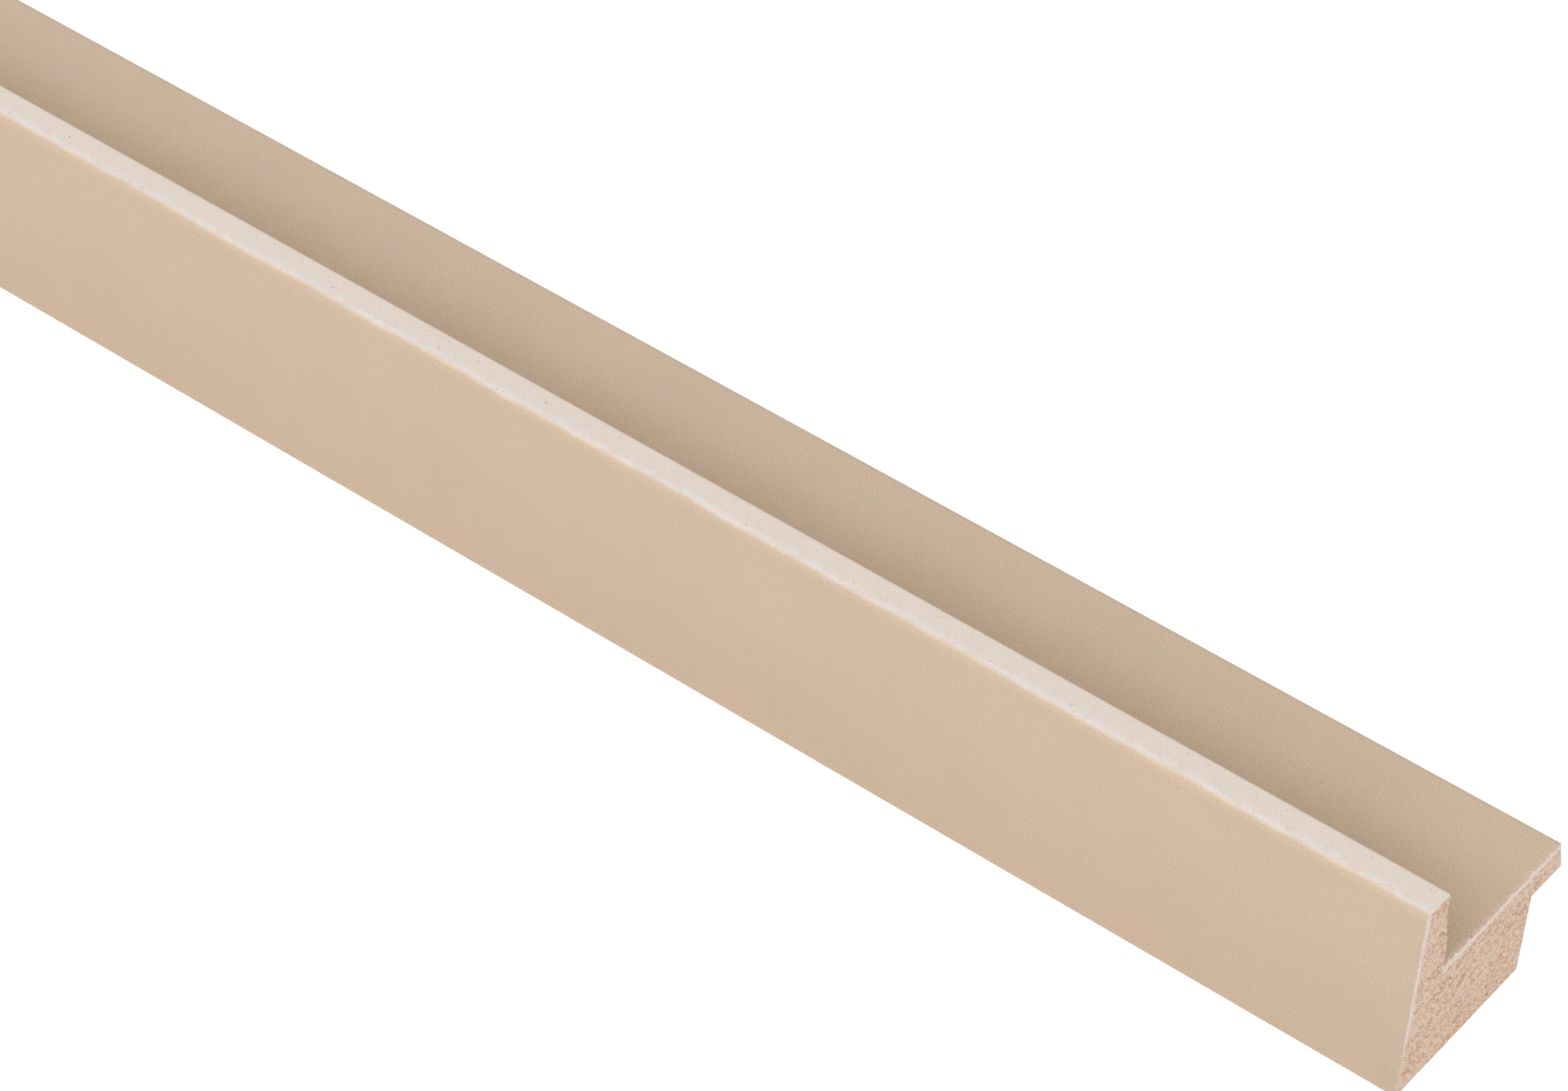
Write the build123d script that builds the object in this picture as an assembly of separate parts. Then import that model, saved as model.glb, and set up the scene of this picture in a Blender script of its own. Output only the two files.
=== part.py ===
from build123d import *

import os
from math import hypot

# A straight length of picture frame moulding: a stick of planed wood, rebated along one side of
# its back, with a coat of gesso over every side that shows in a frame. The back, the rebate and
# the sawn ends are bare wood. Sizes are in millimetres.
# X runs along the stick, Y from the outer face towards the sight edge, and Z up from the back.
# The origin is in the middle of the length and of the width, on the back.

# Stick
stick_length = 2400.0     # length that the stick is sold in

# Finished section, over the gesso
face_height = 27.4        # outer face, from the back to the top edge
back_width = 24.0         # back, from the plane of the outer face to the rebate
lip_reach = 6.0           # lip, from the rebate wall to the sight edge
rebate_depth = 11.2       # rebate, from the back to the underside of the lip
lip_thickness = 4.25      # lip, from its underside to the sunk face
edge_width = 4.4          # top edge, from the outer face to the inner wall
wall_foot = 5.9           # foot of the inner wall, measured from the outer face
sight_setback = 1.2       # how far the sight edge leans back at its top

# Coat
face_gesso = 0.55         # on the outer face, above the taper
foot_gesso = 0.25         # on the outer face at the back, where the coat runs out thin
taper_height = 14.0       # from the back to where the outer face's coat is full
sunk_gesso = 0.7          # on the sunk face
thin_gesso = 0.2          # on the top edge, the inner wall and the sight edge

# Rounding of the finished corners
outer_arris = 0.9         # top edge to outer face
inner_arris = 0.35        # top edge to inner wall
wall_root = 0.5           # inner wall to sunk face
sight_arris = 0.25        # sunk face to sight edge

# Worked out from the sizes above
overall_width = back_width + lip_reach
sunk_height = rebate_depth + lip_thickness
wall_lean = (wall_foot - edge_width) / (face_height - sunk_height)
sight_lean = sight_setback / lip_thickness


def wall_y(height, inset):
    """Place across the section of the inner wall at a height, with the wall moved in by inset."""
    return wall_foot - wall_lean * (height - sunk_height) - inset * hypot(1, wall_lean)


def sight_y(height, inset):
    """Place across the section of the sight edge at a height, with the edge moved in by inset."""
    return overall_width - sight_lean * (height - rebate_depth) - inset * hypot(1, sight_lean)


def tightened(radius, coat):
    """Radius of an outside corner under the coat, which is sharp where the coat makes it all."""
    return max(radius - coat, 0)


def inner_side(top, sunk, coat):
    """Corners from the top edge to the rebate's foot, with the sides above the lip moved in by coat.

    They run over the inner arris, down the inner wall, along the sunk face, down the sight edge,
    and back under the lip and down the rebate wall. Each is a point and a radius.
    """
    return [
        ((wall_y(top, coat), top), tightened(inner_arris, coat)),
        ((wall_y(sunk, coat), sunk), wall_root + coat),
        ((sight_y(sunk, coat), sunk), tightened(sight_arris, coat)),
        ((sight_y(rebate_depth, coat), rebate_depth), 0),
        ((back_width, rebate_depth), 0),
        ((back_width, 0), 0),
    ]


def finished_corners():
    """Corners of the section over the gesso, from the tapered foot of the outer face."""
    outer_side = [
        ((face_gesso - foot_gesso, 0), 0),
        ((0, taper_height), 0),
        ((0, face_height), outer_arris),
    ]
    return outer_side + inner_side(face_height, sunk_height, 0)


def wood_corners():
    """Corners of the planed wood under the gesso, from the foot of the outer face."""
    top = face_height - thin_gesso
    outer_side = [
        ((face_gesso, 0), 0),
        ((face_gesso, top), tightened(outer_arris, thin_gesso)),
    ]
    return outer_side + inner_side(top, sunk_height - sunk_gesso, thin_gesso)


def section(corners):
    """Face of a section at the left end of the stick, from its points and their radii."""
    points, radii = zip(*corners)
    left_end = Plane(
        origin=(-stick_length / 2, -overall_width / 2, 0), x_dir=(0, 1, 0), z_dir=(1, 0, 0)
    )
    with BuildSketch(left_end) as sketch:
        with BuildLine():
            FilletPolyline(*points, radius=radii, close=True)
        make_face()
    return sketch.sketch


def planed_stick():
    """Bare wood under the coat, the full length of the stick."""
    return extrude(section(wood_corners()), amount=stick_length)


def gesso_coat():
    """Coat between the wood and the finished surface, over the sides that show in a frame."""
    coat = section(finished_corners()) - section(wood_corners())
    return extrude(coat, amount=stick_length)


os.makedirs("parts", exist_ok=True)
export_step(planed_stick(), "parts/wood_moulding.step")
export_step(gesso_coat(), "parts/gesso_coat.step")
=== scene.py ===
from math import ceil, cos, radians, sin

import bpy
import numpy as np
from mathutils import Matrix, Vector, geometry, noise


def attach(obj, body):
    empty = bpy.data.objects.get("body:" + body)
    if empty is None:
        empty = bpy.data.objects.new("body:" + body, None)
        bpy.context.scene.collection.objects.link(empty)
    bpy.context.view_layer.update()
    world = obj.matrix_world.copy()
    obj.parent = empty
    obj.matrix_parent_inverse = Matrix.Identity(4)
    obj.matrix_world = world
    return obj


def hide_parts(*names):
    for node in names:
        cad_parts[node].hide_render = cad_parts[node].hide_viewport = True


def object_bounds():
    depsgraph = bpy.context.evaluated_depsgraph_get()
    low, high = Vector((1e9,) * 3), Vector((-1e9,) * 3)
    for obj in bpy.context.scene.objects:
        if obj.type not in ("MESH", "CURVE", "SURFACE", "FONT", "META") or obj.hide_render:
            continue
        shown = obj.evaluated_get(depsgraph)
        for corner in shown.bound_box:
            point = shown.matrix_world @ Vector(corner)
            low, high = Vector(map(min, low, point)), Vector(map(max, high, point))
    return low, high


# Dresses a length of picture frame moulding: the stick of bare wood, torn a little where it was
# sawn, and its coat of gesso with a sand lacquer over it, rubbed through to ivory on the top edge.
# Everything is in metres, in the frame of the solids: X along the stick, Y from the outer face
# across to the sight edge, Z up from the back. The materials count in millimetres.

mm = 0.001
SAME = 0.001 * mm                              # places closer than this are the same
DIGITS = 7                                     # decimals of a metre that tell places apart

# Camera
LENS, SENSOR = 118.34, 36                      # focal length and sensor width, in millimetres
CAMERA_AT = Vector((1352.84, -345.00, 400.84)) * mm
CAMERA_AIM = Vector((1124.56, -24.11, 39.15)) * mm
CAMERA_ROLL = radians(3.54)

# Spacing of the meshes
SIDE_STEP = 0.24 * mm                          # along the bare sides of the section
COAT_STEP = 0.2 * mm                           # along the coated sides
GRAIN_STEP = 0.23 * mm                         # between the points inside a sawn end
GRAIN_SHIFT, GRAIN_CLEAR = 0.25, 0.7           # shares of it: their shift, and clear of the outline
END_RINGS = np.array([0, 0.06, 0.14, 0.25, 0.4, 0.62, 0.95, 1.5, 2.4, 4.2, 7, 12, 22, 45, 90]) * mm
SHARP_EDGE = radians(35)                       # edges that turn by more than this stay sharp

# Textures: the long sides are folded into rows, with the ends above them in more detail
WOOD_ROW, COAT_ROW = 400 * mm, 480 * mm        # length of a row
WOOD_FINE, COAT_FINE = 12.7, 11.7              # share of the texture's width that a metre takes above
COAT_ZONES = 12 * mm, 4.2 * mm                 # near and far end of the coat that lie above
MARGIN = 0.003                                 # round every part of a texture, as a share of its width

# How far the saw tore the edges of its cut back, pushed them out and wore them round, by side
# of the section, in millimetres, and the share by which the coat is thicker than in the solids
TORN = {"outer": 0.03, "top": 0.04, "arris": 0.1, "wall": 0.35, "sunk": 0.16, "sight": 0.05}
BURR = {"wall": 0.5, "sunk": 0.1}
WORN = {"outer": 0.06, "top": 0.06, "arris": 0.28, "wall": 0.06, "sunk": 0.3, "sight": 0.06}
THICKER = {"outer": 0.22, "sunk": 0.45}
# The last two change across the sunk face: places in millimetres, and the factors there
GROWTH = (-9, -7, 12), (0.9, 1.6, 0.9)
TORN_BARE = 0.05 * mm                          # how far the bare edges of the cuts are torn back
TEAR_WAVES = (0.3, 1, 0), (0.8, 1.2, 7), (2, 0.8, 3)    # size in millimetres, share and added seed
TORN_REACH = 1.3 * mm                          # how far from the cut the tears run out
CORNER_EASE = 0.5 * mm                         # over which the tears turn round the section's corners
THINNEST_COAT = 0.06 * mm                      # left over the wood at a worn edge
UNEVEN_COAT = 0.25                             # share of the coat's thickness that comes and goes
SAWN_DEPTH = 0.035 * mm                        # of the roughness of a sawn end
CUT_LEAN = 0.0045                              # slope of the near cut, back towards the outer face

# Seeds, each for the near end and the far end
TEAR_SEEDS = 189.5, 80.0
COAT_SEEDS = 10.0, 60.0
SAWN_SEEDS = 3.0, 9.0

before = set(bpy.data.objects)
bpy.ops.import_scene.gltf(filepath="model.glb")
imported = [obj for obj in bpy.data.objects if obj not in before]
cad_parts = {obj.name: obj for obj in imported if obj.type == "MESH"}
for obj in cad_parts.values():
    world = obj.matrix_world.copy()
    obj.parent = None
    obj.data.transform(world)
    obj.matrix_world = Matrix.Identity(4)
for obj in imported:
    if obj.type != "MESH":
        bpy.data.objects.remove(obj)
cad_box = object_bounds()


def srgb(red, green, blue):
    """Linear colour, with alpha, of a colour as a screen shows it, from 0 to 255."""
    shares = [c / 255 for c in (red, green, blue)]
    return (*[c / 12.92 if c <= 0.04045 else ((c + 0.055) / 1.055) ** 2.4 for c in shares], 1.0)


# Reading the section from the solids


def end_outline(node):
    """Outline of a node's end as points (y, z), anticlockwise seen from +X, from its lowest one."""
    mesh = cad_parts[node].data
    places = [v.co for v in mesh.vertices]
    end = max(p.x for p in places)
    sides = set()
    for face in mesh.polygons:
        if any(end - places[i].x > SAME for i in face.vertices):
            continue
        corners = [(round(places[i].y, DIGITS), round(places[i].z, DIGITS)) for i in face.vertices]
        for side in zip(corners, corners[1:] + corners[:1]):
            if side[::-1] in sides:
                sides.remove(side[::-1])
            else:
                sides.add(side)
    following = dict(sides)
    loop = [min(following, key=lambda p: (p[1], p[0]))]
    while following[loop[-1]] != loop[0]:
        loop.append(following[loop[-1]])
    return np.array(loop)


def filled(path, step):
    """The path with points added, so that none is further than step from the next."""
    pieces = [path[:1]]
    for a, b in zip(path, path[1:]):
        count = ceil(np.hypot(*(b - a)) / step)
        pieces.append(a + (b - a) * np.arange(1, count + 1)[:, None] / count)
    return np.concatenate(pieces)


def lengths_along(path):
    """Distance along a path of each of its points from the first."""
    return np.concatenate([[0], np.cumsum(np.hypot(*np.diff(path, axis=0).T))])


def partners(outer, inner):
    """For each outer point the nearest place on the inner path, always further on; ends meet ends."""
    fine_step, least_step = 0.02 * mm, 0.002 * mm
    fine = filled(inner, fine_step)
    along = lengths_along(fine)
    nearest = np.hypot(*(outer[:, None] - fine[None]).transpose(2, 0, 1)).argmin(1)
    nearest[0], nearest[-1] = 0, len(fine) - 1
    place = along[np.maximum.accumulate(nearest)]
    for i in range(1, len(place) - 1):
        place[i] = max(place[i], place[i - 1] + least_step)
    return np.stack([np.interp(place, along, fine[:, axis]) for axis in (0, 1)], 1)


def inward(path):
    """Unit vectors into the wood, for a path that has the wood on its right."""
    ahead = np.gradient(path, axis=0)
    ahead /= np.hypot(*ahead.T)[:, None]
    return np.stack([ahead[:, 1], -ahead[:, 0]], 1)


def eased(values, along, reach):
    """Values along a path, averaged with their neighbours within about this reach."""
    weights = np.exp(-((along[:, None] - along[None]) / reach) ** 2)
    return weights @ values / weights.sum(1).reshape(-1, *[1] * (values.ndim - 1))


def side_names(path):
    """Which side of the section each point of the coated path is on; arris is the inner one."""
    top = path[:, 1].max()
    arris_foot = top - 0.6 * mm
    names = []
    for (y, z), (into_y, into_z) in zip(path, inward(path)):
        if into_y < -0.1 and z > arris_foot:
            names.append("arris")
        elif into_z < -0.7:
            names.append("top" if z > top * 0.8 else "sunk")
        elif into_y > 0:
            names.append("outer")
        else:
            names.append("wall" if y < 0 else "sight")
    return names


wood_loop = end_outline("wood_moulding")
coat_loop = end_outline("gesso_coat")
sight_foot = wood_loop[:, 0].argmax()
bare_path = filled(wood_loop[:sight_foot + 1], SIDE_STEP)
inner_path = np.concatenate([wood_loop[sight_foot:], wood_loop[:1]])[::-1]
outer_path = np.concatenate([coat_loop[coat_loop[:, 0].argmax():], coat_loop[:1]])[::-1]
outer_path = filled(outer_path, COAT_STEP)
inner_path = partners(outer_path, inner_path)
coat_along, bare_along = lengths_along(outer_path), lengths_along(bare_path)
low_corner, high_corner = cad_box
near_end, far_end = high_corner[0], low_corner[0]
stick_length = near_end - far_end

# Places on the section that the materials need, in millimetres
OUTER, TOP = low_corner[1] / mm, high_corner[2] / mm
CORNER = OUTER + TOP                           # y + z where outer face and top edge would meet
INNER = max(y for y, z in coat_loop if high_corner[2] - z < SAME) / mm
INNER_CORNER = INNER - TOP                     # y - z where the top edge ends at the inner arris
SUNK = max(z for y, z in coat_loop if y > 0) / mm
SIGHT = max(y for y, z in coat_loop if SUNK * mm - z < SAME) / mm


# Shaping the sawn ends


def ripple(along, size, seed):
    """Smooth noise from about -1 to 1, with bumps about size long."""
    return np.array([noise.noise(Vector((s / size, seed, 0.5))) for s in along])


def tears(along, depths, burrs, seed):
    """How far each point of a cut edge is torn back, or pushed out where it is less than 0."""
    nicks = sum(share * ripple(along, size * mm, seed + more) for size, share, more in TEAR_WAVES)
    back, out = np.clip(nicks + 0.2, 0, 1), np.clip(-nicks - 0.1, 0, 1)
    return depths * back - burrs * out


def fading(distance):
    """Share of the tears that is left at a distance from the cut."""
    return np.clip(1 - distance / TORN_REACH, 0, 1) ** 2


def rounding(distance, radius):
    """How far an edge worn to a radius is back at a distance from the cut."""
    left = np.clip(radius - distance, 0, None)
    return radius - np.sqrt(radius ** 2 - left ** 2)


def ring_distances():
    """Distances of the rings from the near end, closest together at both ends of the stick."""
    rows = [np.arange(row, stick_length - row / 2, row) for row in (WOOD_ROW, COAT_ROW)]
    found = np.unique(np.concatenate([END_RINGS, *rows, stick_length - END_RINGS]).round(DIGITS))
    found[-1] = stick_length
    return found


distances = ring_distances()
near_fade, far_fade = (fading(d)[:, None, None] for d in (distances, stick_length - distances))
far_share = (distances / stick_length)[:, None, None]


def at_both_ends(make):
    """Rings of offsets that are make(seed) at each end and fade from the one into the other."""
    near, far = (make(seed)[None] for seed in COAT_SEEDS)
    return near * (1 - far_share) + far * far_share


def torn(along, into, depths, burrs):
    """Offsets of the rings of a path, torn back along into near the cuts or pushed out."""
    near, far = ((tears(along, depths, burrs, seed)[:, None] * into)[None] for seed in TEAR_SEEDS)
    return near * near_fade + far * far_fade


def by_side(sizes, factors=1.0):
    """Size at each point of the coated path, from that of its side, with soft changes between."""
    size = np.array([sizes.get(name, 0) for name in coat_sides])
    return eased(size * factors, coat_along, CORNER_EASE)


coat_into = eased(inward(outer_path), coat_along, CORNER_EASE)
coat_sides = side_names(outer_path)
towards_wall = np.interp(outer_path[:, 0] / mm, *GROWTH)
growth = np.where(np.array(coat_sides) == "sunk", towards_wall, 1)
coat_burrs = by_side(BURR) * mm
coat_torn = torn(coat_along, coat_into, by_side(TORN) * mm, coat_burrs)
from_ends = np.minimum(distances, stick_length - distances)
worn = rounding(from_ends[:, None], by_side(WORN, growth) * mm)[..., None]
outer_rings = outer_path[None] + coat_torn + worn * coat_into
solid_thickness = np.hypot(*(inner_path - outer_path).T)
inner_path = inner_path + (solid_thickness * by_side(THICKER, growth))[:, None] * coat_into


def uneven(seed):
    """Offsets of the wood under the coat, which give the coat its uneven thickness."""
    wave = 0.8 * ripple(coat_along, 0.5 * mm, seed) + 0.8 * ripple(coat_along, 2.5 * mm, seed + 5)
    return (solid_thickness * UNEVEN_COAT * wave)[:, None] * coat_into


def clear_of_coat(inner, outer):
    """The wood's rings, moved in where the worn coat over them would be too thin."""
    left = ((inner - outer) * coat_into).sum(2)
    push = np.clip(THINNEST_COAT - left, 0, None)
    neighbours = range(-3, 4)
    push = np.max([np.roll(push, shift, 1) for shift in neighbours], 0)
    return inner + push[..., None] * coat_into


wood_burrs = torn(coat_along, coat_into, 0, coat_burrs)
inner_rings = clear_of_coat(inner_path[None] + at_both_ends(uneven) + wood_burrs, outer_rings)
# The coat ends level with the back and with the underside of the lip
inner_rings[:, [0, -1], 1] = inner_path[[0, -1], 1]
outer_rings[:, [0, -1], 1] = outer_path[[0, -1], 1]
bare_rings = bare_path[None] + torn(bare_along, -inward(bare_path), TORN_BARE, 0)
bare_rings[:, 0] = inner_rings[:, 0]
bare_rings[:, -1] = inner_rings[:, -1]


def roughness(points, seed):
    """How deep each point (y, z) of a sawn end lies under its plane."""
    fine, broad = 0.7 * mm, 3 * mm
    deep = [
        0.5 + 0.45 * noise.noise(Vector((y / fine, z / fine, seed)))
        + 0.3 * noise.noise(Vector((y / broad, z / broad, seed + 1)))
        for y, z in points
    ]
    return SAWN_DEPTH * np.clip(deep, 0, 1)


def leaning(y):
    """How far the near cut lies back from the end of the stick, at a place across the section."""
    return CUT_LEAN * (high_corner[1] - y)


def with_x(rings):
    """Rings as points in space, their first and last ones sunk by the roughness of the cut."""
    x = (near_end - distances)[:, None, None] - leaning(rings[..., :1]) * (1 - far_share)
    near_seed, far_seed = SAWN_SEEDS
    x[0, :, 0] -= roughness(rings[0], near_seed)
    x[-1, :, 0] += roughness(rings[-1], far_seed)
    return np.concatenate([x, rings], 2)


# Laying out the textures


def face_corners(pair, places, pair_first=True):
    """Corners of a line of faces, between the pair one way and from place to place the other way."""
    low, high = (np.stack([np.full(len(places), value), places], 1) for value in pair)
    if not pair_first:
        low, high = low[:, ::-1], high[:, ::-1]
    return np.stack([low[:-1], high[:-1], high[1:], low[1:]], 1)


class Sheet:
    """Texture of a piece: the long sides that show in rows, and zones of more detail above them."""

    def __init__(self, row, height, fine, zones=(0, 0)):
        self.row, self.fine, self.zones = row, fine, zones
        self.scale = (1 - 2 * MARGIN) / row
        self.pitch = height * self.scale + MARGIN
        self.above = MARGIN + round(stick_length / row) * self.pitch

    def shown(self, start, end, along):
        """Corners of the faces between two rings, at places along the outline that show."""
        near_zone, far_zone = self.zones
        from_end = far_zone - stick_length
        base = self.above
        if end < near_zone + SAME:
            pair = base + start * self.fine, base + end * self.fine
        elif start + from_end > -SAME:
            base += near_zone * self.fine + MARGIN
            pair = base + (start + from_end) * self.fine, base + (end + from_end) * self.fine
        else:
            row = int((start + SAME) / self.row)
            pair = [MARGIN + (distance - row * self.row) * self.scale for distance in (start, end)]
            return face_corners(pair, MARGIN + row * self.pitch + along * self.scale)
        return face_corners(pair, MARGIN + along * self.fine, pair_first=False)

    def hidden(self, start, end, along, left):
        """Corners of faces that lie between the coat and the wood, in a corner of the texture."""
        across = (1 - MARGIN - left) / stick_length
        up = (1 - MARGIN - self.above) / along[-1]
        pair = left + start * across, left + end * across
        return face_corners(pair, self.above + along * up)

    def long_sides(self, outline, first_shown, count_shown, left):
        """Corners of all faces between the rings of a closed outline, in the order of ring_quads."""
        along = lengths_along(np.concatenate([outline, outline[:1]]))
        last = first_shown + count_shown
        shown = along[first_shown:last + 1] - along[first_shown]
        rest = along[:first_shown + 1] if first_shown else along[last:] - along[last]
        lines = []
        for start, end in zip(distances, distances[1:]):
            parts = [self.shown(start, end, shown), self.hidden(start, end, rest, left)]
            lines += parts[::-1] if first_shown else parts
        return np.concatenate(lines)


# Building the meshes


def inside(points, loop):
    """Which points (y, z) lie in the closed loop."""
    within = np.zeros(len(points), bool)
    for (y0, z0), (y1, z1) in zip(loop, np.roll(loop, -1, axis=0)):
        spans = (points[:, 1] < z0) != (points[:, 1] < z1)
        if z0 != z1:
            within ^= spans & (points[:, 0] < y0 + (points[:, 1] - z0) / (z1 - z0) * (y1 - y0))
    return within


def grain_points(loop, seed):
    """Points spread inside a sawn end, clear of its outline."""
    low, high = loop.min(0), loop.max(0)
    counts = np.ceil((high - low) / GRAIN_STEP).astype(int)
    grid = np.stack(np.meshgrid(*(np.arange(1, n) for n in counts), indexing="ij"), -1).reshape(-1, 2)
    shift = np.random.default_rng(seed).uniform(-GRAIN_SHIFT, GRAIN_SHIFT, grid.shape)
    points = low + (grid + shift) * (high - low) / counts
    points = points[inside(points, loop)]
    clear = np.ones(len(points), bool)
    for corner in loop:
        clear &= np.hypot(*(points - corner).T) > GRAIN_CLEAR * GRAIN_STEP
    return points[clear]


def sawn_end(loop, seed):
    """Points to add inside the outline of a sawn end, and its triangles, anticlockwise."""
    added = grain_points(loop, seed)
    places = [Vector(p) for p in np.concatenate([loop, added])]
    inside_only, closeness = 1, 1e-9
    found = geometry.delaunay_2d_cdt(places, [], [list(range(len(loop)))], inside_only, closeness)
    triangles, origins = found[2], found[3]
    return added, [[origins[i][0] for i in triangle] for triangle in triangles]


def ring_quads(rings, count):
    """Faces between neighbouring rings of count points, from the near end on."""
    quads = []
    for ring in range(rings - 1):
        for i in range(count):
            a, b = ring * count + i, ring * count + (i + 1) % count
            quads.append((a, a + count, b + count, b))
    return quads


def new_piece(name, points, faces, corners, materials, wears):
    """Piece of these points and faces.

    corners gives each face's corners on the texture, and wears its place among the materials.
    """
    mesh = bpy.data.meshes.new(name)
    mesh.from_pydata([tuple(p) for p in points], [], faces)
    for material in materials:
        mesh.materials.append(material)
    mesh.polygons.foreach_set("material_index", wears)
    layout = mesh.uv_layers.new(name="OFBake")
    layout.data.foreach_set("uv", np.concatenate([np.ravel(face) for face in corners]))
    mesh.shade_smooth()
    mesh.set_sharp_from_angle(angle=SHARP_EDGE)
    piece = bpy.data.objects.new(name, mesh)
    bpy.context.scene.collection.objects.link(piece)
    return piece


def wood_stick(end_grain, long_grain):
    """The planed stick: its coated sides lie under the gesso."""
    rings = with_x(np.concatenate([bare_rings[:, :-1], inner_rings[:, :0:-1]], 1))
    count = rings.shape[1]
    sheet = Sheet(WOOD_ROW, bare_along[-1], WOOD_FINE)
    outline = np.concatenate([bare_path[:-1], inner_path[:0:-1]])
    end_width = np.ptp(outline[:, 0]) * sheet.fine + MARGIN
    points = [rings.reshape(-1, 3)]
    faces = ring_quads(len(rings), count)
    wears = [1] * len(faces)
    corners = list(sheet.long_sides(outline, 0, len(bare_path) - 1, 2 * (MARGIN + end_width)))
    total = len(points[0])
    # The near end and the far end, whose faces run opposite ways round
    ends = zip((0, len(rings) - 1), (1, -1), SAWN_SEEDS)
    for which, (ring, sign, seed) in enumerate(ends):
        loop = rings[ring, :, 1:]
        added, triangles = sawn_end(loop, int(seed))
        cut = near_end - leaning(added[:, 0]) if sign > 0 else far_end
        x = cut - sign * roughness(added, seed)
        points.append(np.concatenate([x[:, None], added], 1))
        place = [ring * count + i for i in range(count)] + [total + i for i in range(len(added))]
        origin = np.array([MARGIN + which * end_width, sheet.above])
        spots = (np.concatenate([loop, added]) - outline.min(0)) * sheet.fine + origin
        for triangle in triangles:
            faces.append([place[i] for i in triangle[::sign]])
            corners.append(spots[triangle[::sign]])
            wears.append(0)
        total += len(added)
    materials = [end_grain, long_grain]
    return new_piece("wood_stick", np.concatenate(points), faces, corners, materials, wears)


def gesso_layer(lacquer, gesso):
    """The coat, lacquered outside and bare where it was sawn through."""
    rings = with_x(np.concatenate([inner_rings, outer_rings[:, ::-1]], 1))
    count = rings.shape[1]
    half = count // 2
    outline = np.concatenate([inner_path, outer_path[::-1]])
    thickness = np.hypot(*(inner_path - outer_path).T)
    shown_length = coat_along[-1] + thickness[[0, -1]].sum()
    sheet = Sheet(COAT_ROW, shown_length, COAT_FINE, COAT_ZONES)
    faces = ring_quads(len(rings), count)
    wears = [1 if i % count < half or i % count == count - 1 else 0 for i in range(len(faces))]
    left = 3 * MARGIN + shown_length * sheet.fine
    corners = list(sheet.long_sides(outline, half - 1, half + 1, left))
    base = sheet.above + sum(COAT_ZONES) * sheet.fine + 2 * MARGIN
    cut_height = thickness.max() * sheet.fine
    for ring, sign in ((0, 1), (len(rings) - 1, -1)):
        first = ring * count
        inner, outer = range(first, first + half), range(first + count - 1, first + half - 1, -1)
        along = MARGIN + coat_along * sheet.fine
        spots = face_corners((base, base + cut_height), along, pair_first=False)
        for i in range(half - 1):
            faces.append((outer[i], inner[i], inner[i + 1], outer[i + 1])[::sign])
            corners.append(spots[i][::sign])
            wears.append(1)
        base += cut_height + MARGIN
    return new_piece("gesso_layer", rings.reshape(-1, 3), faces, corners, [lacquer, gesso], wears)


# Materials

MATTE = 0.3                                    # reflection of all finishes, where 0.5 is usual


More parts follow.
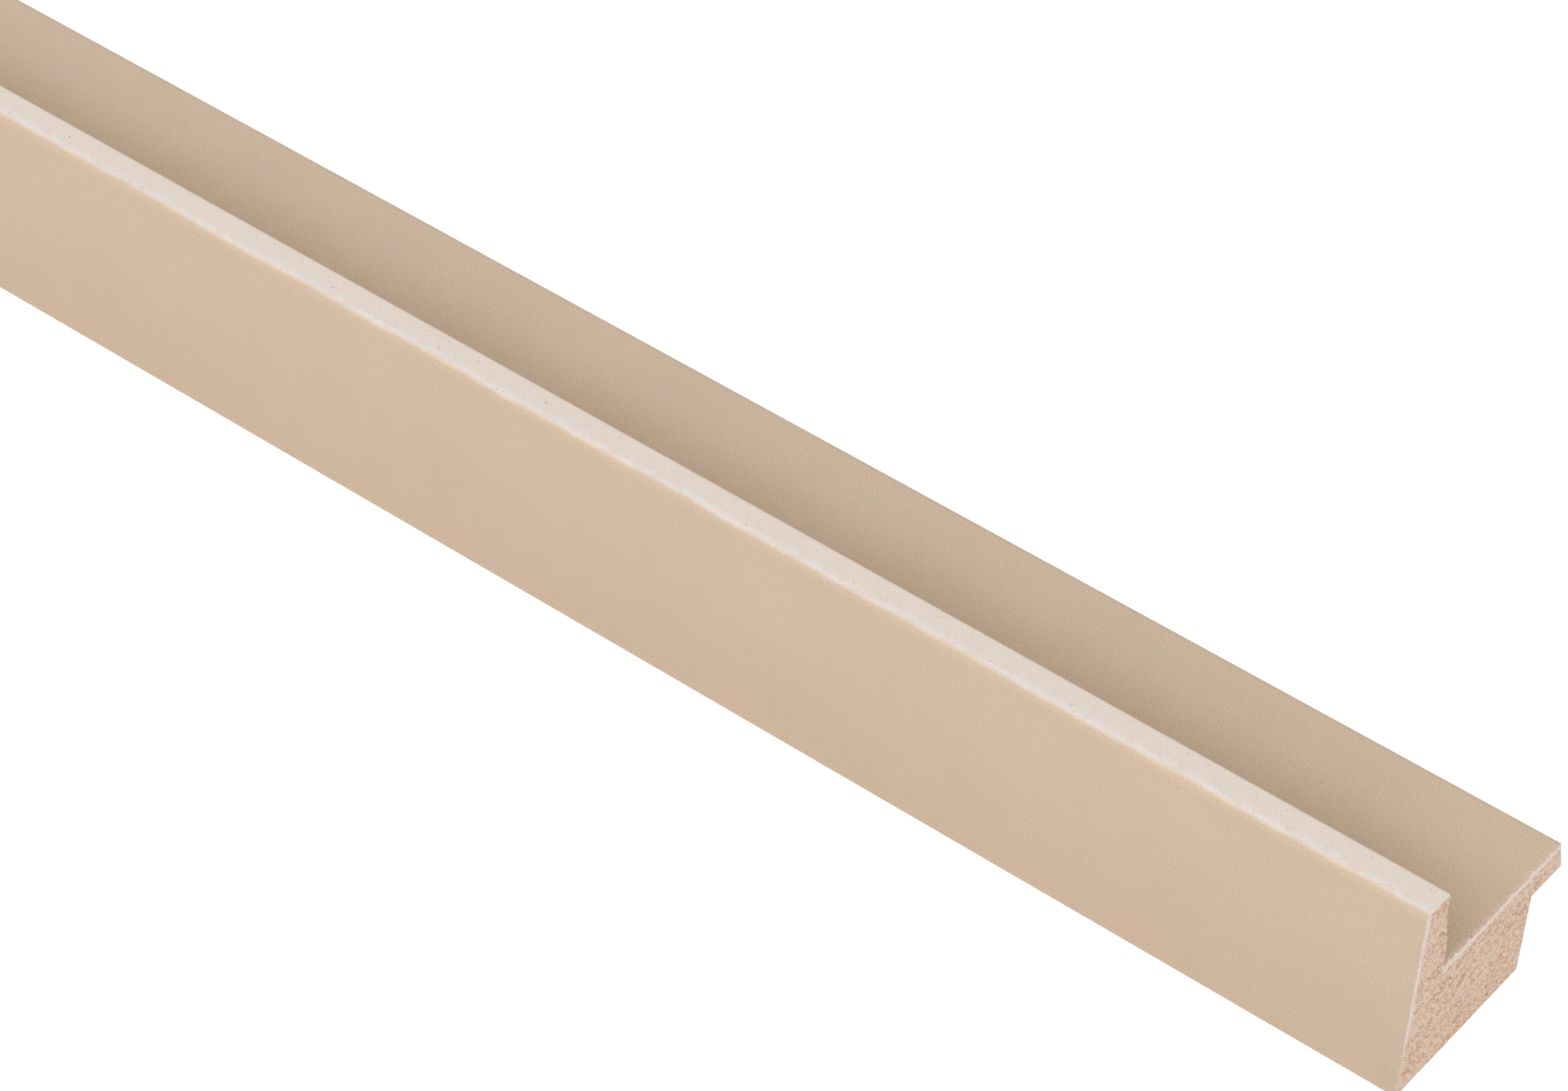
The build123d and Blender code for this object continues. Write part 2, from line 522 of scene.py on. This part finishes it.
class Finish:
    """A material under construction, with short ways to add the nodes that the finishes use."""

    def __init__(self, name, roughness):
        self.material = bpy.data.materials.new(name)
        self.material.use_nodes = True
        self.tree = self.material.node_tree
        self.shader = self.tree.nodes["Principled BSDF"]
        self.shader.inputs["Roughness"].default_value = roughness
        self.shader.inputs["Specular IOR Level"].default_value = MATTE
        place = self.add("ShaderNodeTexCoord").outputs["Object"]
        scale = self.add("ShaderNodeVectorMath", {"Vector": place, "Scale": 1 / mm}, operation="SCALE")
        self.place = scale.outputs[0]
        self.x, self.y, self.z = self.add("ShaderNodeSeparateXYZ", {0: self.place}).outputs
        # These grow from the outer face to the top edge, and from there down the inner wall
        self.outer_round = self.math("ADD", self.y, self.z)
        self.inner_round = self.math("SUBTRACT", self.y, self.z)
        self.flat = self.add("ShaderNodeCombineXYZ", {0: self.x, 1: self.outer_round}).outputs[0]
        from_end = self.math("SUBTRACT", stick_length / 2 / mm, self.math("ABSOLUTE", self.x))
        lean = self.times(self.math("SUBTRACT", high_corner[1] / mm, self.y), CUT_LEAN)
        lean = self.times(lean, self.math("GREATER_THAN", self.x, 0.0))
        self.from_cut = self.math("SUBTRACT", from_end, lean)

    def add(self, kind, feeds=(), **settings):
        """New node, with its settings made and its inputs set to values or fed by other nodes."""
        made = self.tree.nodes.new(kind)
        for name, value in settings.items():
            setattr(made, name, value)
        for socket, value in dict(feeds).items():
            if isinstance(value, bpy.types.NodeSocket):
                self.tree.links.new(value, made.inputs[socket])
            else:
                made.inputs[socket].default_value = value
        return made

    def math(self, operation, a, b=0.0):
        """Result of an operation on one value or two."""
        return self.add("ShaderNodeMath", {0: a, 1: b}, operation=operation).outputs[0]

    def times(self, first, *factors):
        """Product of all the values."""
        for factor in factors:
            first = self.math("MULTIPLY", first, factor)
        return first

    def turned(self, degrees, stretch=(1, 1, 1)):
        """The place turned about the stick's length, and so scaled that patterns are stretched."""
        feeds = {"Vector": self.place, "Rotation": (-radians(degrees), 0, 0)}
        turn = self.add("ShaderNodeMapping", feeds)
        scale = [1 / s for s in stretch]
        return self.add("ShaderNodeMapping", {"Vector": turn.outputs[0], "Scale": scale}).outputs[0]

    def across(self, degrees, stretch=1.0):
        """The place in the section, with the direction that rises by degrees stretched."""
        turn = self.turned(degrees, (1, stretch, 1))
        _, y, z = self.add("ShaderNodeSeparateXYZ", {0: turn}).outputs
        return self.add("ShaderNodeCombineXYZ", {0: y, 1: z}).outputs[0]

    def noise(self, size, at=None, detail=2.0, rough=0.5):
        """Noise from 0 to 1 with bumps about size millimetres long."""
        feeds = {"Vector": at or self.place, "Scale": 1 / size, "Detail": detail, "Roughness": rough}
        return self.add("ShaderNodeTexNoise", feeds).outputs["Fac"]

    def spots(self, spacing, share, smallest, largest, at=None, soft=0.3):
        """1 in round spots of these radii, one in a share of the cells of that spacing."""
        feeds = {"Vector": at or self.flat, "Scale": 1 / spacing}
        cells = self.add("ShaderNodeTexVoronoi", feeds, voronoi_dimensions="2D").outputs
        pick, size, _ = self.add("ShaderNodeSeparateColor", {0: cells["Color"]}).outputs
        radius = self.ramp(size, 0, 1, smallest, largest)
        inside = self.math("SUBTRACT", radius, self.math("MULTIPLY", cells["Distance"], spacing))
        return self.times(self.math("LESS_THAN", pick, share), self.ramp(inside, 0, soft * largest))

    def ramp(self, value, start, end, low=0.0, high=1.0):
        """Goes smoothly from low to high as the value goes from start to end."""
        feeds = {"Value": value, "From Min": start, "From Max": end, "To Min": low, "To Max": high}
        return self.add("ShaderNodeMapRange", feeds, interpolation_type="SMOOTHSTEP").outputs[0]

    def mix(self, share, first, second):
        """Colour between two colours."""
        feeds = {0: share, 6: first, 7: second}
        return self.add("ShaderNodeMix", feeds, data_type="RGBA").outputs[2]

    def shade(self, colour, by):
        """The colour made lighter or darker by a factor."""
        if not isinstance(colour, bpy.types.NodeSocket):
            colour = colour[:3]
        return self.add("ShaderNodeVectorMath", {0: colour, "Scale": by}, operation="SCALE").outputs[0]

    def tint(self, colour, share, first, second):
        """The colour times a factor for red, green and blue, between two such factors."""
        factor = self.mix(share, (*first, 1), (*second, 1))
        return self.add("ShaderNodeVectorMath", {0: colour, 1: factor}, operation="MULTIPLY").outputs[0]

    def wear(self, colour, roughness=None):
        """The finished material, with this colour and, where it varies, this roughness."""
        self.tree.links.new(colour, self.shader.inputs["Base Color"])
        if roughness is not None:
            self.tree.links.new(roughness, self.shader.inputs["Roughness"])
        return self.material

    def bump(self, *layers):
        """Bumps from layers of a height from 0 to 1 and its depth in millimetres."""
        normal = None
        for height, depth in layers:
            feeds = {"Height": height, "Distance": depth * mm, "Strength": 1.0}
            if normal is not None:
                feeds["Normal"] = normal
            normal = self.add("ShaderNodeBump", feeds).outputs[0]
        self.tree.links.new(normal, self.shader.inputs["Normal"])


SAND_PINK = srgb(212.5, 187, 164.6)
SAND_GREEN = srgb(210.3, 187.9, 163.2)
OCHRE = srgb(223, 194, 160)
IVORY = srgb(237, 224, 213.5)
IVORY_WARM = srgb(237.5, 220.8, 207)
# Whiter ivory of the rubbed outer arris, which is also a painted highlight
RUBBED_HIGHLIGHT = srgb(240, 231, 226)
GESSO = srgb(243, 226, 216)
CHIPPED = srgb(226, 210, 196)
SPECK = srgb(186, 155, 130)
WOOD_PALE = srgb(233, 208, 190)
WOOD = srgb(222, 191, 171)
WOOD_DARK = srgb(209, 169, 142)
PORE = srgb(172, 130, 104)
RAY_ANGLE = 16.5                               # degrees that the rays rise from the back
SAW_ANGLE = -49                                # along which the saw smeared the fibres
GRAIN_ANGLE = 33                               # by which the lacquer's grain is askew

# Factors for red, green and blue
GRAIN_DARK, GRAIN_PALE = (0.766, 0.74, 0.706), (1.234, 1.26, 1.294)
PINKISH, YELLOWISH = (1.03, 0.988, 1.008), (0.98, 1.007, 0.942)
# Painted shade on the sunk face: darker and warmer at the root of the wall, a little lighter towards
# the lip
LIP_LIGHT, ROOT_SHADE = (1.03, 1.03, 1.02), (0.98, 0.957, 0.91)


def sand_paint(f, on_sunk):
    """Sprayed sand lacquer with a few specks, and painted shade: darker towards the foot, at the root
    of the wall and along the sight edge.
    """
    mottle = f.ramp(f.noise(14, detail=4), 0.25, 0.75, 0.985, 1.015)
    # Painted shade: the lacquer darkens by up to 6 % towards the foot of the outer face
    foot_shade = f.ramp(f.z, 0, 0.9 * TOP, 0.94, 1.0)
    sand = f.mix(f.ramp(f.noise(5, detail=2), 0.35, 0.65), SAND_PINK, SAND_GREEN)
    sand = f.shade(sand, f.times(mottle, foot_shade))
    # Painted shade: the sunk face darkens and warms towards the root of the wall
    sunk = f.tint(sand, f.ramp(f.y, 0, 9), ROOT_SHADE, LIP_LIGHT)
    # Painted shade: the sunk face darkens by 6 % over the last half millimetre before the sight edge
    sunk = f.shade(sunk, f.ramp(f.y, SIGHT - 0.5, SIGHT, 1.0, 0.94))
    return f.mix(f.spots(25, 0.25, 0.12, 0.2, soft=0.9), f.mix(on_sunk, sand, sunk), SPECK)


def rubbed_paint(f, edge):
    """Ivory of the top edge with freckles and specks, whiter along the outer arris as rubbed paint and
    a painted highlight.
    """
    # Painted highlight: a whiter band along the outer arris, where the edge is also rubbed most
    highlight_band = f.ramp(edge, CORNER + 0.5, CORNER + 0.85)
    highlight_band = f.times(highlight_band, f.ramp(edge, CORNER + 1, CORNER + 1.8, 1, 0))
    freckles = f.ramp(f.noise(0.9, detail=4, rough=0.6), 0.45, 0.68)
    by_wall = f.ramp(f.inner_round, INNER_CORNER - 0.45, INNER_CORNER - 0.1)
    freckles = f.math("MAXIMUM", freckles, by_wall)
    ivory = f.mix(freckles, f.mix(highlight_band, IVORY, RUBBED_HIGHLIGHT), IVORY_WARM)
    ivory = f.shade(ivory, f.ramp(f.noise(0.3, detail=3, rough=0.6), 0.5, 0.75, 1.0, 0.95))
    ivory = f.mix(f.times(f.spots(5, 0.8, 0.13, 0.26, soft=0.8), 0.6), ivory, SPECK)
    return f.mix(f.times(f.spots(2, 0.6, 0.1, 0.2, soft=0.7), 0.35), ivory, SPECK)


def chips(f, on_sunk):
    """1 where the lacquer is chipped off beside the cuts, furthest in lumps on the sunk face."""
    reach = f.ramp(f.noise(0.8, detail=2), 0.35, 0.65, -0.02, 0.06)
    lumps = f.ramp(f.noise(1.2, f.across(0), detail=1), 0.54, 0.7, 0.0, 0.13)
    reach = f.math("MAXIMUM", reach, f.times(lumps, on_sunk))
    return f.ramp(f.math("SUBTRACT", reach, f.from_cut), -0.04, 0.04)


def sprayed_grain(f):
    """Fine grain round 0, laid over the outer face, the top edge and the sunk face alike."""
    over = f.math("ADD", f.z, f.times(f.y, 0.6))
    unrolled = f.add("ShaderNodeCombineXYZ", {0: f.x, 1: over}).outputs[0]
    feeds = {"Vector": unrolled, "Rotation": (0, 0, radians(GRAIN_ANGLE))}
    askew = f.add("ShaderNodeMapping", feeds).outputs[0]
    return f.math("SUBTRACT", f.noise(0.1, askew, detail=0), 0.5)


def sand_lacquer():
    """Matte sprayed lacquer, rubbed through to ivory on the top edge and chipped at the cuts."""
    f = Finish("sand_lacquer", 0.55)
    on_sunk = f.times(f.ramp(f.z, SUNK + 0.2, SUNK + 0.8, 1, 0), f.ramp(f.y, OUTER + 1, OUTER + 2))
    wander = f.times(f.math("SUBTRACT", f.noise(5, detail=2), 0.5), 0.7)
    edge = f.math("ADD", f.outer_round, wander)
    outside = f.ramp(f.inner_round, INNER_CORNER - 0.15, INNER_CORNER + 0.5, 1, 0)
    patches = f.ramp(f.noise(4, detail=1), 0.35, 0.65, 0.2, 1.0)
    fringe = f.times(f.ramp(edge, CORNER - 0.08, CORNER + 0.15), patches)
    rubbed = f.ramp(edge, CORNER - 0.05, CORNER + 0.9)
    colour = f.mix(f.times(fringe, outside), sand_paint(f, on_sunk), OCHRE)
    colour = f.mix(f.times(rubbed, outside), colour, rubbed_paint(f, edge))
    colour = f.mix(chips(f, on_sunk), colour, CHIPPED)
    depth = f.times(f.ramp(rubbed, 0, 1, 1.0, 0.38), f.ramp(on_sunk, 0, 1, 1.0, 1.6))
    grain = f.ramp(f.times(sprayed_grain(f), depth), -0.3, 0.3)
    colour = f.tint(colour, grain, GRAIN_DARK, GRAIN_PALE)
    f.bump((f.noise(1.1, detail=2), 0.02), (f.noise(0.25, detail=1), 0.006))
    return f.wear(colour, f.ramp(f.noise(2.5, detail=3), 0.2, 0.8, 0.5, 0.62))


def bare_gesso():
    """Gesso where the saw cut it, with wood showing on the inner wall and low on the outer face."""
    f = Finish("bare_gesso", 0.85)
    grain = f.ramp(f.noise(0.25, detail=3, rough=0.7), 0.25, 0.75, 0.82, 1.1)
    on_wall = f.times(f.ramp(f.z, SUNK + 0.2, SUNK + 0.8), f.ramp(f.z, TOP - 0.6, TOP - 0.3, 1, 0))
    on_wall = f.times(on_wall, f.ramp(f.y, OUTER + 1.5, OUTER + 2.5))
    crushed = f.times(on_wall, f.ramp(f.noise(0.5, detail=3), 0.3, 0.6, 0.5, 1.0))
    thin = f.times(f.ramp(f.z, 3, 11, 0.75, 0.0), f.ramp(f.y, OUTER + 1, OUTER + 2, 1, 0))
    colour = f.mix(f.math("MAXIMUM", crushed, thin), GESSO, WOOD)
    f.bump((f.noise(0.25, detail=3), 0.03))
    return f.wear(f.shade(colour, grain))


def gesso_dust(f):
    """Share of white dust that the saw left on the wood beside the gesso, thinnest by the lip."""
    under = f.ramp(f.z, SUNK - 1.5, SUNK - 1.05, 0.0, 0.7)
    under = f.times(under, f.ramp(f.y, OUTER + 5.5, OUTER + 6.2), f.ramp(f.y, 1, 7, 1.0, 0.0))
    behind = f.times(f.ramp(f.y, OUTER + 0.6, OUTER + 0.95, 0.7, 0.0), f.ramp(f.z, 5, 12))
    patches = f.ramp(f.noise(0.4, detail=2), 0.35, 0.6, 0.4, 1.0)
    return f.times(f.math("MAXIMUM", under, behind), patches)


def end_grain():
    """Sawn across the fibres: brown pores in rows along the rays, on a paler ground."""
    f = Finish("end_grain", 0.8)
    smeared = f.across(SAW_ANGLE, 2.2)
    porous = f.ramp(f.noise(1.2, f.across(RAY_ANGLE, 6), detail=1), 0.4, 0.6, 1.0, 0.0)
    flecks = f.noise(0.52, smeared, detail=2)
    warm = f.times(f.ramp(flecks, 0.38, 0.62), f.ramp(porous, 0, 1, 0.55, 1.0))
    colour = f.mix(warm, WOOD_PALE, WOOD_DARK)
    pores = f.spots(0.36, 0.8, 0.08, 0.16, smeared, soft=0.9)
    pores = f.times(pores, f.ramp(porous, 0, 1, 0.35, 1.0))
    colour = f.mix(pores, colour, PORE)
    ruled = f.ramp(f.noise(3.5, detail=1), 0.4, 0.6, 0.2, 1.0)
    rays = f.noise(0.34, f.across(RAY_ANGLE, 13), detail=1)
    colour = f.mix(f.times(f.ramp(rays, 0.48, 0.6, 0.0, 0.75), ruled), colour, WOOD_PALE)
    colour = f.tint(colour, f.ramp(f.noise(1.2, detail=3), 0.3, 0.7), PINKISH, YELLOWISH)
    colour = f.mix(gesso_dust(f), colour, GESSO)
    fuzz = f.ramp(f.noise(0.12, f.across(SAW_ANGLE, 3.3), detail=1), 0.3, 0.7, 0.82, 1.19)
    f.bump((pores, -0.05), (f.noise(0.4, detail=3), 0.03))
    return f.wear(f.shade(colour, fuzz))


def long_grain():
    """Planed along the fibres."""
    f = Finish("long_grain", 0.7)
    fibres = f.noise(0.5, f.turned(0, (60, 1, 1)), detail=4, rough=0.6)
    bands = f.noise(4, f.turned(0, (90, 1, 1)), detail=3)
    pores = f.ramp(f.noise(0.25, f.turned(0, (14, 1, 1)), detail=1), 0.66, 0.74)
    colour = f.mix(f.ramp(fibres, 0.3, 0.7), WOOD_DARK, WOOD_PALE)
    colour = f.mix(f.ramp(bands, 0.3, 0.7, 0.0, 0.6), colour, WOOD)
    colour = f.mix(f.times(pores, 0.6), colour, PORE)
    f.bump((pores, -0.03), (fibres, 0.02))
    return f.wear(colour)


# The pieces

wood = wood_stick(end_grain(), long_grain())
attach(wood, "root")
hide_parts("wood_moulding")

coat = gesso_layer(sand_lacquer(), bare_gesso())
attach(coat, "root")
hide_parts("gesso_coat")


# Stage


def seen_directly(tree):
    """1 for rays from the camera or through gloss or glass, and 0 for light that falls on things."""
    rays = tree.nodes.new("ShaderNodeLightPath").outputs
    total = rays["Is Camera Ray"]
    for name in ("Is Glossy Ray", "Is Transmission Ray"):
        either = tree.nodes.new("ShaderNodeMath")
        either.operation = "MAXIMUM"
        tree.links.new(total, either.inputs[0])
        tree.links.new(rays[name], either.inputs[1])
        total = either.outputs[0]
    return total


def white_world(light):
    """Even light from all around, with a white background."""
    world = bpy.data.worlds.new("studio")
    world.use_nodes = True
    bpy.context.scene.world = world
    tree = world.node_tree
    strength = tree.nodes.new("ShaderNodeMapRange")
    tree.links.new(seen_directly(tree), strength.inputs["Value"])
    strength.inputs["To Min"].default_value = light
    strength.inputs["To Max"].default_value = 1.0
    background = tree.nodes["Background"]
    background.inputs["Color"].default_value = (1, 1, 1, 1)
    tree.links.new(strength.outputs[0], background.inputs["Strength"])


def pale_floor(size, shadow_share, glow, grey=0.85):
    """Floor that looks white, with only a share of its shadows showing."""
    half = size / 2
    corners = [(-half, -half, 0), (half, -half, 0), (half, half, 0), (-half, half, 0)]
    mesh = bpy.data.meshes.new("floor")
    mesh.from_pydata(corners, [], [(0, 1, 2, 3)])
    floor = bpy.data.objects.new("floor", mesh)
    bpy.context.scene.collection.objects.link(floor)
    material = bpy.data.materials.new("floor")
    material.use_nodes = True
    tree = material.node_tree
    diffuse = tree.nodes.new("ShaderNodeBsdfDiffuse")
    diffuse.inputs["Color"].default_value = (grey, grey, grey, 1)
    light = tree.nodes.new("ShaderNodeEmission")
    light.inputs["Strength"].default_value = glow
    mix = tree.nodes.new("ShaderNodeMixShader")
    share = tree.nodes.new("ShaderNodeMath")
    share.operation = "MULTIPLY"
    share.inputs[1].default_value = 1 - shadow_share
    tree.links.new(seen_directly(tree), share.inputs[0])
    tree.links.new(share.outputs[0], mix.inputs[0])
    tree.links.new(diffuse.outputs[0], mix.inputs[1])
    tree.links.new(light.outputs[0], mix.inputs[2])
    tree.links.new(mix.outputs[0], tree.nodes["Material Output"].inputs["Surface"])
    mesh.materials.append(material)


def soft_sun(name, azimuth, elevation, strength, width=40):
    """Distant soft lamp, at angles in degrees: its azimuth turns from the outer face towards +X."""
    data = bpy.data.lights.new(name, "SUN")
    data.energy = strength
    data.angle = radians(width)
    lamp = bpy.data.objects.new(name, data)
    turn, rise = radians(azimuth), radians(elevation)
    towards = Vector((sin(turn) * cos(rise), -cos(turn) * cos(rise), sin(rise)))
    lamp.rotation_euler = towards.to_track_quat("Z", "Y").to_euler()
    bpy.context.scene.collection.objects.link(lamp)


def photo_camera():
    """Camera that sees the near end of the stick as the photo does."""
    data = bpy.data.cameras.new("camera")
    data.lens = LENS
    data.sensor_width = SENSOR
    camera = bpy.data.objects.new("camera", data)
    look = (CAMERA_AIM - CAMERA_AT).to_track_quat("-Z", "Y").to_matrix()
    rolled = look @ Matrix.Rotation(CAMERA_ROLL, 3, "Z")
    camera.matrix_world = Matrix.Translation(CAMERA_AT) @ rolled.to_4x4()
    bpy.context.scene.collection.objects.link(camera)
    bpy.context.scene.camera = camera


white_world(light=0.315)
pale_floor(size=40, shadow_share=0.25, glow=1.2)
soft_sun("front", azimuth=0, elevation=45, strength=1.2)
soft_sun("front_right", azimuth=45, elevation=25, strength=0.8)
soft_sun("right", azimuth=90, elevation=35, strength=0.47)
soft_sun("back_left", azimuth=-135, elevation=45, strength=0.39)
photo_camera()
bpy.context.scene.view_settings.view_transform = "Standard"
